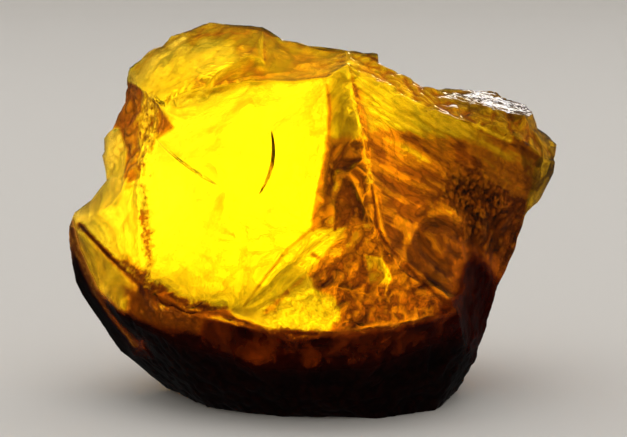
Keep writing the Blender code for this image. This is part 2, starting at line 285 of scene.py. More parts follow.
# Areas of the front: the outline and the softness of its edge, both in pixels of the front view,
# and what the resin is there: how deep its colour, how crusted, how stained and how murky. Where
# areas overlap, the later one covers the earlier
AREAS = {
    "cap": ([(130, 50), (200, 15), (262, 20), (262, 33), (247, 58), (215, 75), (197, 98),
             (160, 105), (130, 90)], 5, 0.42, 0.0, 0.0, 0.0),
    "cap_left": ([(130, 85), (150, 58), (185, 38), (196, 58), (188, 88), (160, 103), (140, 97)],
                 18, 0.0, 0.0, 0.05, 0.28),
    "cap_mottle": ([(188, 52), (205, 40), (232, 44), (236, 60), (212, 76), (190, 78)],
                   12, 0.0, 0.1, 0.3, 0.0),
    "chamfer": ([(262, 20), (400, 40), (352, 66), (329, 80), (297, 84), (250, 86), (200, 97),
                 (215, 75), (247, 58), (262, 33)], 8, 0.38, 0.0, 0.0, 0.32),
    "chip": ([(249, 52), (261, 40), (266, 44), (265, 62), (250, 61)], 2, 0.4, 0.0, 0.0, 0.1),
    "clear": ([(200, 97), (250, 86), (297, 84), (329, 80), (327, 118), (326, 152), (318, 188),
               (312, 206), (311, 230), (287, 249), (243, 307), (190, 313), (142, 262), (140, 190),
               (156, 140), (175, 120), (158, 104)], 5, 0.0, 0.0, 0.0, 0.0),
    "left_clear": ([(142, 185), (142, 262), (160, 298), (107, 255), (72, 225), (96, 200),
                    (125, 190)], 5, 0.0, 0.0, 0.0, 0.25),
    "shoulder": ([(125, 80), (150, 95), (174, 128), (157, 140), (145, 160), (146, 175), (128, 182),
                  (110, 175), (112, 130)], 5, 0.68, 0.0, 0.52, 0.2),
    "bump": ([(100, 130), (118, 128), (126, 150), (122, 178), (105, 180)], 4, 0.08, 0.1, 0.0, 0.4),
    "wing": ([(112, 178), (128, 178), (118, 205), (80, 216), (70, 212)], 4, 0.1, 0.1, 0.0, 0.5),
    "strip_top": ([(329, 80), (349, 66), (358, 110), (362, 138), (328, 142)],
                  12, 0.2, 0.0, 0.0, 0.65),
    "strip_low": ([(327, 142), (363, 136), (372, 186), (378, 228), (362, 225), (355, 190),
                   (345, 175), (335, 190), (330, 230), (314, 228), (320, 188)],
                  18, 0.72, 0.0, 0.08, 0.5),
    "hollow": ([(335, 192), (347, 174), (357, 190), (362, 230), (335, 232)],
               5, 0.66, 0.0, 0.05, 0.0),
    "right": ([(350, 64), (392, 88), (462, 120), (522, 140), (548, 160), (500, 300), (466, 272),
               (462, 300), (390, 257), (368, 158)], 4, 0.75, 0.0, 0.0, 0.24),
    "right_top": ([(350, 66), (395, 88), (440, 108), (487, 126), (474, 141), (430, 136),
                   (372, 130), (360, 100)], 16, 0.1, 0.0, 0.0, 0.42),
    "right_far": ([(474, 118), (522, 140), (548, 160), (535, 195), (500, 185), (468, 150)],
                  20, 0.52, 0.0, 0.0, 0.5),
    "smudge": ([(376, 132), (440, 142), (458, 168), (404, 160)], 18, 0.5, 0.0, 0.2, 0.5),
    "right_low": ([(390, 232), (455, 225), (475, 262), (462, 300), (420, 285)],
                  18, 0.82, 0.0, 0.25, 0.6),
    "right_dark": ([(470, 205), (524, 200), (506, 262), (470, 262), (455, 235)],
                   24, 0.82, 0.0, 0.68, 0.96),
    "spangles": ([(442, 172), (480, 166), (508, 190), (508, 212), (470, 224), (444, 206)],
                 26, 0.7, 0.0, 0.62, 0.98),
    "brow": ([(352, 52), (385, 55), (455, 95), (530, 118), (556, 160), (545, 160), (521, 141),
              (461, 121), (391, 89), (350, 66)], 5, 0.42, 0.0, 0.2, 0.25),
    "shelf": ([(440, 90), (470, 88), (530, 100), (560, 130), (556, 150), (534, 134), (525, 112),
               (500, 113), (460, 108)], 4, 0.3, 0.02, 0.1, 0.3),
    "sliver": ([(538, 158), (560, 155), (556, 195), (535, 215), (522, 224)],
               5, 0.3, 0.0, 0.1, 0.88),
    "centre": ([(345, 228), (372, 228), (395, 257), (459, 310), (400, 324), (332, 332), (320, 300),
                (310, 275)], 8, 0.66, 0.0, 0.4, 0.0),
    "gold_cluster": ([(322, 244), (346, 239), (354, 250), (332, 258)], 5, 0.5, 0.0, 0.45, 0.0),
    "plate": ([(366, 256), (382, 260), (391, 276), (384, 292), (368, 282)],
              4, 0.36, 0.0, 0.05, 0.0),
    "centre_low": ([(340, 290), (400, 285), (455, 306), (400, 322), (336, 330)],
                   16, 0.74, 0.0, 0.44, 0.15),
    "tongue": ([(311, 230), (345, 228), (310, 268), (262, 310), (243, 307), (287, 249)],
               4, 0.0, 0.0, 0.0, 0.05),
    "lobe": ([(256, 324), (266, 304), (288, 287), (316, 289), (337, 302), (340, 318),
             (324, 331), (296, 337)], 9, 0.0, 0.05, 0.42, 0.32),
    # Painted shade: the lower band curves under, away from the light, so it is made darker and more
    # opaque by murk and stain, from the olive facet at the left to near black at the arch and the
    # foot
    "olive": ([(73, 224), (92, 240), (118, 266), (134, 290), (130, 318), (110, 302), (90, 268)],
              12, 0.3, 0.0, 0.15, 0.8),
    "band": ([(139, 283), (187, 313), (257, 328), (332, 332), (400, 324), (459, 312), (466, 271),
              (484, 264), (502, 290), (480, 380), (440, 420), (180, 410), (120, 330)],
             9, 0.8, 0.2, 0.98, 0.3),
    "arch": ([(428, 322), (440, 304), (454, 290), (458, 264), (474, 252), (492, 262), (504, 278),
              (514, 300), (500, 345), (462, 345), (436, 334)], 26, 0.85, 0.0, 1.02, 0.15),
    "foot": ([(72, 240), (95, 290), (130, 318), (175, 345), (235, 362), (300, 372), (370, 370),
              (465, 335), (480, 400), (430, 430), (170, 420), (70, 300)], 16, 0.8, 0.4, 1.35, 0.8),
    "olive_low": ([(124, 288), (140, 290), (170, 306), (205, 320), (200, 334), (160, 328),
                   (132, 318)], 14, 0.7, 0.0, 0.72, 0.85),
    "glow_middle": ([(236, 350), (256, 338), (284, 340), (298, 352), (280, 364), (252, 368)],
                    24, 0.85, 0.0, 0.93, 0.0),
    "glow_right": ([(296, 362), (310, 356), (330, 358), (322, 368)], 16, 0.85, 0.0, 0.96, 0.3),
    "glow_left": ([(124, 334), (146, 340), (152, 358), (134, 354)], 14, 0.6, 0.0, 0.9, 0.1),
}

# Narrow marks on the front: their line, their width in pixels, and the same four amounts
MARKS = {
    "vein": ([(150, 98), (147, 118), (143, 160), (144, 195), (146, 240), (150, 275), (165, 300)],
             36, 0.15, 0.0, 0.56, 0.0),
    "lip_left": ([(80, 225), (110, 257), (140, 285), (162, 302)], 11, 0.75, 0.1, 0.9, 0.5),
    "lip_crumbs": ([(125, 262), (150, 286), (185, 304), (225, 311)], 24, 0.5, 0.0, 0.7, 0.0),
    "lip": ([(155, 296), (188, 312), (221, 314), (257, 327), (297, 338), (340, 335), (400, 328),
             (456, 312)], 10, 0.66, 0.1, 0.8, 0.2),
    "ridge": ([(350, 66), (357, 100), (368, 150), (372, 186), (377, 228)], 5, 0.5, 0.0, 0.54, 0.1),
    "left_edge": ([(70, 222), (76, 250), (95, 292), (112, 318), (135, 345)],
                  14, 0.8, 0.5, 0.75, 0.6),
    "ridge_foot": ([(372, 186), (378, 228), (384, 240), (400, 258), (434, 293), (459, 312)],
                   9, 0.8, 0.0, 0.8, 0.5),
    # Painted highlight and painted shade: a lighter line along a ripple and a darker one beside it
    "arc_highlight": ([(403, 260), (407, 240), (420, 221), (440, 211), (455, 214)],
                  12, 0.56, 0.0, 0.0, 0.1),
    "arc_shade": ([(413, 262), (417, 243), (428, 228), (446, 222)], 12, 0.82, 0.0, 0.2, 0.5),
    "skyline": ([(268, 34), (300, 44), (345, 52), (385, 64)], 26, 0.42, 0.0, 0.15, 0.3),
    "cluster_foot": ([(312, 254), (330, 264), (352, 259), (362, 250)], 7, 0.7, 0.0, 0.5, 0.2),
    # Painted highlight: a lighter line along the plate's rim
    "plate_rim_highlight": ([(364, 256), (382, 259), (392, 276), (386, 294)], 4, 0.2, 0.0, 0.0, 0.0),
    "cap_edge": ([(262, 33), (247, 58), (215, 75), (200, 97)], 4, 0.5, 0.05, 0.2, 0.3),
    "cap_specks": ([(197, 80), (204, 97)], 9, 0.4, 0.1, 0.52, 0.2),
    "chip_line": ([(264, 42), (265, 60)], 3, 0.7, 0.0, 0.5, 0.4),
    "tongue_edge": ([(311, 230), (287, 249), (243, 307)], 5, 0.5, 0.0, 0.3, 0.1),
    "clear_edge": ([(327, 85), (330, 110), (328, 150), (317, 195), (313, 230)],
                   6, 0.6, 0.0, 0.4, 0.3),
    "hollow_edge": ([(335, 230), (337, 200), (346, 176), (356, 190), (362, 228)],
                    6, 0.75, 0.0, 0.3, 0.3),
    "peak": ([(335, 62), (347, 52), (360, 62)], 14, 0.36, 0.0, 0.0, 0.3),
    "tongue_foot": ([(345, 236), (312, 270), (266, 312)], 12, 0.55, 0.0, 0.3, 0.0),
    "streak_glint": ([(474, 124), (490, 131), (510, 141)], 8, 0.0, 0.0, 0.0, 0.0),
    "notch": ([(352, 314), (353, 327)], 9, 0.8, 0.0, 0.75, 0.8),
}

# The undercut below the tongue, smoothed so that light gets through: its line and its width in
# pixels
TONGUE_FOOT = ([(345, 236), (310, 268), (258, 312)], 54)


class Crack:
    """A thin crack: its ends and bow in pixels of the front view, its lean in degrees, and its
    depth and gap in millimetres."""

    def __init__(self, start, end, bow, lean, depth, gap):
        self.start = start
        self.end = end
        self.bow = bow
        self.lean = math.radians(lean)
        self.depth = depth * MM
        self.gap = gap * MM


CRACKS = [
    Crack((156, 139), (220, 187), 4, 0, 3.0, 0.12),
    Crack((271, 130), (259, 194), -7, -15, 2.5, 0.5),
    Crack((154, 96), (162, 106), 1, 15, 1.5, 0.3),
]


class Relief:
    """One pass of fine relief: its area, its pattern, and its spacing and height in
    millimetres; and for some patterns their middle and the direction that they run across."""

    def __init__(self, where, pattern, spacing, height, place=None, across=None):
        self.where = where
        self.pattern = pattern
        self.spacing = spacing * MM
        self.height = height * MM
        self.place = place
        self.across = across


# How steeply the right face's streaks fall, the directions that streaks run across, and the
# middles of the rings and of the dome in millimetres
STREAK_FALL = math.radians(31)
ACROSS_STREAKS = (math.sin(STREAK_FALL), 0.0, math.cos(STREAK_FALL))
ACROSS_TONGUE = (0.66, 0.0, -0.75)
RIGHT_RINGS = (21.0, -10.0, 28.0)
RIGHT_DOME = (17.0, -13.0, 21.0)

RELIEFS = [
    Relief("right", "bands", 3.4, 0.10, across=ACROSS_STREAKS),
    Relief("right_top", "bands", 0.9, 0.04, across=ACROSS_STREAKS),
    Relief("right", "chips", 4.0, 0.12),
    Relief("right_low", "dome", 5.5, 0.5, place=RIGHT_DOME),
    Relief("right_low", "rings", 3.0, 0.10, place=RIGHT_RINGS),
    Relief("right_dark", "chips", 3.0, 0.4),
    Relief("spangles", "crumbs", 0.7, 0.25),
    Relief("tongue", "bands", 1.1, 0.05, across=ACROSS_TONGUE),
    Relief("centre", "chips", 4.5, 0.8),
    Relief("centre", "chips", 1.6, 0.15),
    Relief("strip_low", "chips", 4.0, 0.5),
    Relief("chamfer", "clouds", 2.6, 0.15),
    Relief("clear", "clouds", 5.0, 0.12),
    Relief("cap", "crumbs", 1.6, 0.22),
    Relief("lobe", "crumbs", 1.2, 0.35),
    Relief("brow", "chips", 3.0, 0.5),
    Relief("shelf", "crumbs", 0.8, 0.2),
    Relief("shoulder", "chips", 3.5, 0.7),
    Relief("vein", "crumbs", 0.9, 0.2),
    Relief("lip", "chips", 2.2, 0.8),
    Relief("lip_crumbs", "chips", 1.4, 0.3),
    Relief("lip_left", "scallops", 1.3, 0.3),
    Relief("ridge", "scallops", 0.9, 0.3),
    Relief("ridge_foot", "chips", 2.0, 0.15),
    Relief("band", "clouds", 2.4, 0.3),
    Relief("band", "chips", 1.8, 0.3),
    Relief("crust", "chips", 4.0, 0.7),
    Relief("crust", "crumbs", 0.9, 0.2),
]

# How close two corners of the solid lie that are one, in metres
WELD_GAP = 1e-6

# How many cuts each edge gets, behind and on the front
BACK_CUTS = 1
FRONT_CUTS = 4

# How often the whole stone is smoothed and how often the undercut, how far each time, and what
# share of it the crust gets, whose dents stay as they are
FLOW_PASSES = 14
EASE_PASSES = 200
SMOOTH_FACTOR = 0.5
CRUST_EVENED = 0.12

# Faces that meet more sharply than this on the finished stone are shaded with an edge
EDGE_ANGLE = math.radians(40)

# In how many steps a vertex group's weights are given
GROUP_STEPS = 20

# How far round it a crease is looked for, in vertices, and the height that counts as a full one
CREASE_PASSES = 5
CREASE_HEIGHT = 0.03 * MM

# How much deeper creases are coloured, how much murk they get and how much ridges lose: painted shade
# in the creases and a painted highlight on the ridges
CREASE_WARMTH = 0.12
CREASE_PAINTED_SHADE = 0.25
RIDGE_PAINTED_HIGHLIGHT = 0.2

# Where the crust begins behind the outline, as cosines of the angle at which the eye meets the
# surface: how far round on average, how much that wanders, the most, and the soft edge
CRUST_REACH = 0.2
CRUST_WANDER = 0.35
CRUST_REACH_MOST = 0.5
CRUST_SOFT_EDGE = (-0.24, 0.06)

# How far apart the tongues of that edge lie, how fast its finer octaves fade, how much finer each
# is and how many there are
CRUST_EDGE = 7.0 * MM
CRUST_EDGE_OCTAVES = (0.7, 2.0, 4)

# How much thinner the crust is behind the clear face, and over how many pixels it thickens again
THIN_CRUST = 0.8
THIN_CRUST_FADE = 120

# How much of the right face's streaks is lost where it is darkest
STREAKS_LOST = 0.7

# What the front is where no area lies: its colour's depth, crust, stain and murk
BARE_FRONT = (0.3, 0.1, 0.0, 0.0)

# What the back is: its colour's depth, what the right side and the foot add to that, its crust
# and its stain
BACK_WARMTH = 0.06
BACK_WARMTH_RIGHT = 0.5
BACK_WARMTH_FOOT = 0.1
BACK_CRUST = 0.85
BACK_STAIN = 0.22

# How far a surface looks down that counts as underside, and the shares of the stone's height
# between which its foot ends
UNDERSIDE = (0.5, 0.8)
FOOT_ENDS = (0.15, 0.4)


def smooth_step(values, low, high):
    """0 below low, 1 above high, and a soft rise between them."""
    share = np.clip((values - low) / (high - low), 0.0, 1.0)
    return share * share * (3 - 2 * share)


def mesh_arrays(mesh):
    """Every vertex's place and normal."""
    places = np.empty(len(mesh.vertices) * 3)
    normals = np.empty(len(mesh.vertices) * 3)
    mesh.vertices.foreach_get("co", places)
    mesh.vertices.foreach_get("normal", normals)
    return places.reshape(-1, 3), normals.reshape(-1, 3)


def store(mesh, name, values):
    """Keeps one number for each vertex as a named attribute."""
    layer = mesh.attributes.get(name) or mesh.attributes.new(name, "FLOAT", "POINT")
    layer.data.foreach_set("value", values.astype(np.float32))


def refine(piece, chosen, cuts):
    """Subdivides the faces that are chosen by how they face the front camera."""
    make_active(piece)
    bpy.ops.object.mode_set(mode="EDIT")
    bpy.ops.mesh.select_mode(type="FACE")
    bpy.ops.mesh.select_all(action="DESELECT")
    bpy.ops.object.mode_set(mode="OBJECT")
    mesh = piece.data
    centres = np.array([face.center for face in mesh.polygons])
    normals = np.array([face.normal for face in mesh.polygons])
    toward = np.array(eye_frame()[0]) - centres
    facing = np.einsum("ij,ij->i", normals, toward)
    mesh.polygons.foreach_set("select", chosen(facing))
    bpy.ops.object.mode_set(mode="EDIT")
    bpy.ops.mesh.subdivide(number_cuts=cuts)
    bpy.ops.object.mode_set(mode="OBJECT")


def surface_weights(mesh):
    """Each area's and mark's weight for every vertex; the crust has what lies behind."""
    places, normals = mesh_arrays(mesh)
    toward = np.array(eye_frame()[0]) - places
    toward /= np.linalg.norm(toward, axis=1)[:, None]
    ragged = np.array([noise.fractal(place / CRUST_EDGE, *CRUST_EDGE_OCTAVES)
                       for place in places])
    reach = np.clip(CRUST_REACH + CRUST_WANDER * ragged, 0.0, CRUST_REACH_MOST)
    front = smooth_step(np.einsum("ij,ij->i", normals, toward) + reach, *CRUST_SOFT_EDGE)
    seen = front_view(places)
    weights = {name: front * area_weight(seen, area[0], area[1])
               for name, area in AREAS.items()}
    weights.update({name: front * line_weight(seen, mark[0], mark[1])
                    for name, mark in MARKS.items()})
    weights["crust"] = 1.0 - front
    return weights


def crease_depth(mesh):
    """From 1 in a crease to -1 on a sharp ridge: how far a vertex lies below those around it."""
    places, normals = mesh_arrays(mesh)
    ends = np.empty(len(mesh.edges) * 2, int)
    mesh.edges.foreach_get("vertices", ends)
    starts, ends = ends.reshape(-1, 2).T
    count = np.bincount(np.concatenate([starts, ends]), minlength=len(places))
    around = places
    for _ in range(CREASE_PASSES):
        sums = [np.bincount(starts, around[ends, axis], len(places))
                + np.bincount(ends, around[starts, axis], len(places)) for axis in range(3)]
        around = np.stack(sums, axis=1) / count[:, None]
    lift = np.einsum("ij,ij->i", around - places, normals)
    return np.clip(lift / CREASE_HEIGHT, -1.0, 1.0)


def describe_surface(mesh, weights):
    """Stores how deep the resin's colour is, how crusted, stained and murky it is, with painted shade
    in its creases and a painted highlight on its ridges, how crazed its crust is and how streaked it
    is, for every vertex."""
    places, normals = mesh_arrays(mesh)
    high = CAD_BOX[1]
    underside = smooth_step(-normals[:, 2], *UNDERSIDE)
    right_share = smooth_step(places[:, 0], 0.0, high[0])
    foot_share = 1.0 - smooth_step(places[:, 2], *(high[2] * share for share in FOOT_ENDS))
    behind = np.stack([BACK_WARMTH + BACK_WARMTH_RIGHT * right_share
                       + BACK_WARMTH_FOOT * foot_share,
                       BACK_CRUST * (1.0 - underside),
                       np.full(len(places), BACK_STAIN),
                       np.zeros(len(places))], axis=1)
    before = np.tile(BARE_FRONT, (len(places), 1))
    for name, (_, _, *amounts) in {**AREAS, **MARKS}.items():
        before += weights[name][:, None] * (np.array(amounts) - before)
    mixed = before + weights["crust"][:, None] * (behind - before)
    creases = crease_depth(mesh)
    creased, ridged = np.maximum(creases, 0.0), np.maximum(-creases, 0.0)
    # Painted shade and painted highlight: creases are coloured deeper and murkier, ridges lighter
    mixed[:, 0] += CREASE_WARMTH * creases * (1.0 - weights["crust"])
    painted_shade_and_highlight = CREASE_PAINTED_SHADE * creased * (1.0 - mixed[:, 3]) - RIDGE_PAINTED_HIGHLIGHT * ridged * mixed[:, 3]
    mixed[:, 3] += painted_shade_and_highlight * (1.0 - weights["crust"])
    for column, name in enumerate(("warmth", "crust", "stain_and_shade", "murk_and_shade")):
        store(mesh, name, mixed[:, column])
    # Behind the clear face the crust is thin and even, or it would shade the face
    thin = area_weight(front_view(places), AREAS["clear"][0], THIN_CRUST_FADE)
    store(mesh, "crazing", weights["crust"] * (1.0 - THIN_CRUST * thin))
    store(mesh, "streaks", weights["right"] * (1.0 - STREAKS_LOST * weights["right_low"])
          * (1.0 - STREAKS_LOST * weights["right_dark"]))


# ---------------------------------------------------------------- fine relief

# How far a wood pattern's own stripes and rings lie apart, in its own units
BAND_UNIT = math.tau / (10 * math.sqrt(3))
RING_UNIT = math.tau / 20

# How broadly and how strongly those stripes and rings wander
WANDER_SCALE = 1.2
WANDER_STRENGTH = 4.0

# How deep the pattern of crumbs goes, and that of clouds and chips
CRUMB_DEPTH = 5
CLOUD_DEPTH = 1


def relief_texture(relief):
    """The pattern of one relief as a texture."""
    if relief.pattern == "scallops":
        texture = bpy.data.textures.new("scallops", "VORONOI")
        texture.distance_metric = "DISTANCE_SQUARED"
        texture.noise_scale = relief.spacing
    elif relief.pattern in ("clouds", "crumbs", "chips"):
        texture = bpy.data.textures.new(relief.pattern, "CLOUDS")
        texture.noise_scale = relief.spacing
        texture.noise_depth = CRUMB_DEPTH if relief.pattern == "crumbs" else CLOUD_DEPTH
        texture.noise_type = "HARD_NOISE" if relief.pattern == "chips" else "SOFT_NOISE"
    elif relief.pattern == "dome":
        texture = bpy.data.textures.new("dome", "BLEND")
        texture.progression = "SPHERICAL"
    else:
        texture = bpy.data.textures.new(relief.pattern, "WOOD")
        texture.wood_type = "BANDNOISE" if relief.pattern == "bands" else "RINGNOISE"
        texture.noise_scale = WANDER_SCALE
        texture.turbulence = WANDER_STRENGTH
    return texture


def relief_guide(relief):
    """An empty that turns, places and sizes a striped or ringed pattern."""
    bpy.ops.object.empty_add(location=Vector(relief.place or (0, 0, 0)) * MM)
    guide = bpy.context.object
    if relief.across:
        turn = Vector((1, 1, 1)).rotation_difference(Vector(relief.across))
        guide.rotation_euler = turn.to_euler()
        guide.scale = (relief.spacing / BAND_UNIT,) * 3
    elif relief.pattern == "dome":
        guide.scale = (relief.spacing,) * 3
    else:
        guide.scale = (relief.spacing / RING_UNIT,) * 3
    bpy.context.view_layer.update()
    return guide


def weight_group(piece, name, values):
    """Turns one number for each vertex into a vertex group."""
    group = piece.vertex_groups.new(name=name)
    steps = np.round(values * GROUP_STEPS).astype(int)
    for step in range(1, GROUP_STEPS + 1):
        chosen = np.flatnonzero(steps == step).tolist()
        if chosen:
            group.add(chosen, step / GROUP_STEPS, "REPLACE")
    return group


def press_relief(piece, relief, weights):
    """Displaces the surface by one relief, where its area lies."""
    group = weight_group(piece, relief.where, weights[relief.where])
    settings = {"texture": relief_texture(relief), "strength": relief.height, "mid_level": 0.5,
                "vertex_group": group.name, "texture_coords": "LOCAL"}
    if relief.pattern == "dome":
        settings["mid_level"] = 0.0
    guide = None
    if relief.pattern in ("bands", "rings", "dome"):
        guide = relief_guide(relief)
        settings.update(texture_coords="OBJECT", texture_coords_object=guide)
    apply_modifier(piece, "DISPLACE", "relief", **settings)
    piece.vertex_groups.remove(piece.vertex_groups[relief.where])
    if guide:
        bpy.data.objects.remove(guide)


def flatten_foot(mesh):
    """Lifts what the relief pushed below the floor back to the flat foot."""
    places, _ = mesh_arrays(mesh)
    places[:, 2] = np.maximum(places[:, 2], 0.0)
    mesh.vertices.foreach_set("co", places.ravel())
    mesh.update()


# ---------------------------------------------------------------- cracks

def place_on_front(piece, pixel):
    """Where the front view's pixel shows the piece: the place and the surface's normal."""
    eye, right, up, forward = eye_frame()
    focal = focal_pixels()
    toward = (forward + right * ((pixel[0] - FRAME_WIDTH / 2) / focal)
              + up * ((FRAME_HEIGHT / 2 - pixel[1]) / focal)).normalized()
    hit, place, normal, _ = piece.ray_cast(eye, toward)
    if not hit:
        raise RuntimeError(f"nothing shows at {pixel}")
    return place, normal


def crack_blade(piece, crack):
    """A thin bowed lens that stands in the surface where a crack opens."""
    start, _ = place_on_front(piece, crack.start)
    end, _ = place_on_front(piece, crack.end)
    middle = [(a + b) / 2 for a, b in zip(crack.start, crack.end)]
    place, normal = place_on_front(piece, middle)
    along = (end - start).normalized()
    inward = Matrix.Rotation(crack.lean, 3, along) @ -normal
    across = inward.cross(along).normalized()
    inward = along.cross(across)
    half = (end - start).length / 2
    bpy.ops.object.select_all(action="DESELECT")
    bpy.ops.mesh.primitive_uv_sphere_add(segments=32, ring_count=16, radius=1.0)
    blade = bpy.context.object
    for vertex in blade.data.vertices:
        x, y, z = vertex.co
        bowed = y * crack.gap / 2 + (1 - x * x) * crack.bow / PIXELS_PER_MM * MM
        vertex.co = place + along * (x * half) + across * bowed + inward * (z * crack.depth)
    return blade


def cut_cracks(piece):
    """Cuts every crack out of the stone."""
    blades = [crack_blade(piece, crack) for crack in CRACKS]
    for blade in blades:
        apply_modifier(piece, "BOOLEAN", "crack", operation="DIFFERENCE", solver="EXACT",
                       object=blade)
        bpy.data.objects.remove(blade)


# ---------------------------------------------------------------- materials

# How many features each pattern has in a millimetre. Clouds in the resin are about 3 mm wide,
# blotches of its film 4.5 mm and the crust's crazed plates 4 mm. Grains are about 0.7 mm: real
# ones are finer, but would hardly show from here
CLOUDS_PER_MM = 0.35
BLOTCHES_PER_MM = 0.22
PLATES_PER_MM = 0.25
GRAINS_PER_MM = 1.4

# Blotches are about twice as tall as wide
BLOTCH_STRETCH = (1.0, 1.0, 0.45)

# Streaks in the resin are about 20 mm long, 7 mm deep and 1.3 mm thick, and the fine ones among
# them 3.5 times smaller
STREAKS_PER_MM = (0.05, 0.15, 0.75)
FINER_STREAKS = 3.5

# How strongly clouds and streaks change the depth of the colour, the share that fine streaks have
# beside broad ones, and what brings the mean of both to nothing
CLOUD_DEPTHS = 0.5
STREAK_DEPTHS = 0.8
FINE_STREAKS_SHARE = 0.5
STREAKS_CENTRED = -0.6

# The film: how strongly clouds and grains break it up, where it starts and how sharp its edge is,
# and the stains between which it turns from tan to rust
FILM_BROKEN_UP = 0.9
FILM_START = 1.35
FILM_SHARPNESS = 4.0
FILM_STAINS = (0.45, 0.85)

# How much the blotches vary, and how much thin film is clearer than thick film
BLOTCH_CONTRAST = 0.6
HIDING_CURVE = 2.5

# How much of the resin's clearness the thickest film and the crust take away
FILM_HIDES = 0.995
CRUST_HIDES = 0.55

# The sums of blotches and clouds between which the crust turns from brown to ochre
CRUST_PATCHES = (0.75, 1.15)

# How dark murk is between its flecks, and how much light the flecks let through
MURK_STRENGTH = 1.15
FLECK_CONTRAST = 0.3

# How rough the freshly broken resin is, and the weathered crust
BROKEN_ROUGHNESS = 0.04
CRUST_ROUGHNESS = 0.9

# How far the grooves between plates wander in millimetres, half their width as a share of a
# plate, how deep they are beside the grains, and how high the skin stands
GROOVE_WANDER = 2.5
GROOVE_WIDTH = 0.1
GROOVE_DEPTH = 0.8
SKIN_HEIGHT = 0.35 * MM

# How strongly the resin soaks up light, for each metre of its way
SOAK_DENSITY = 130.0


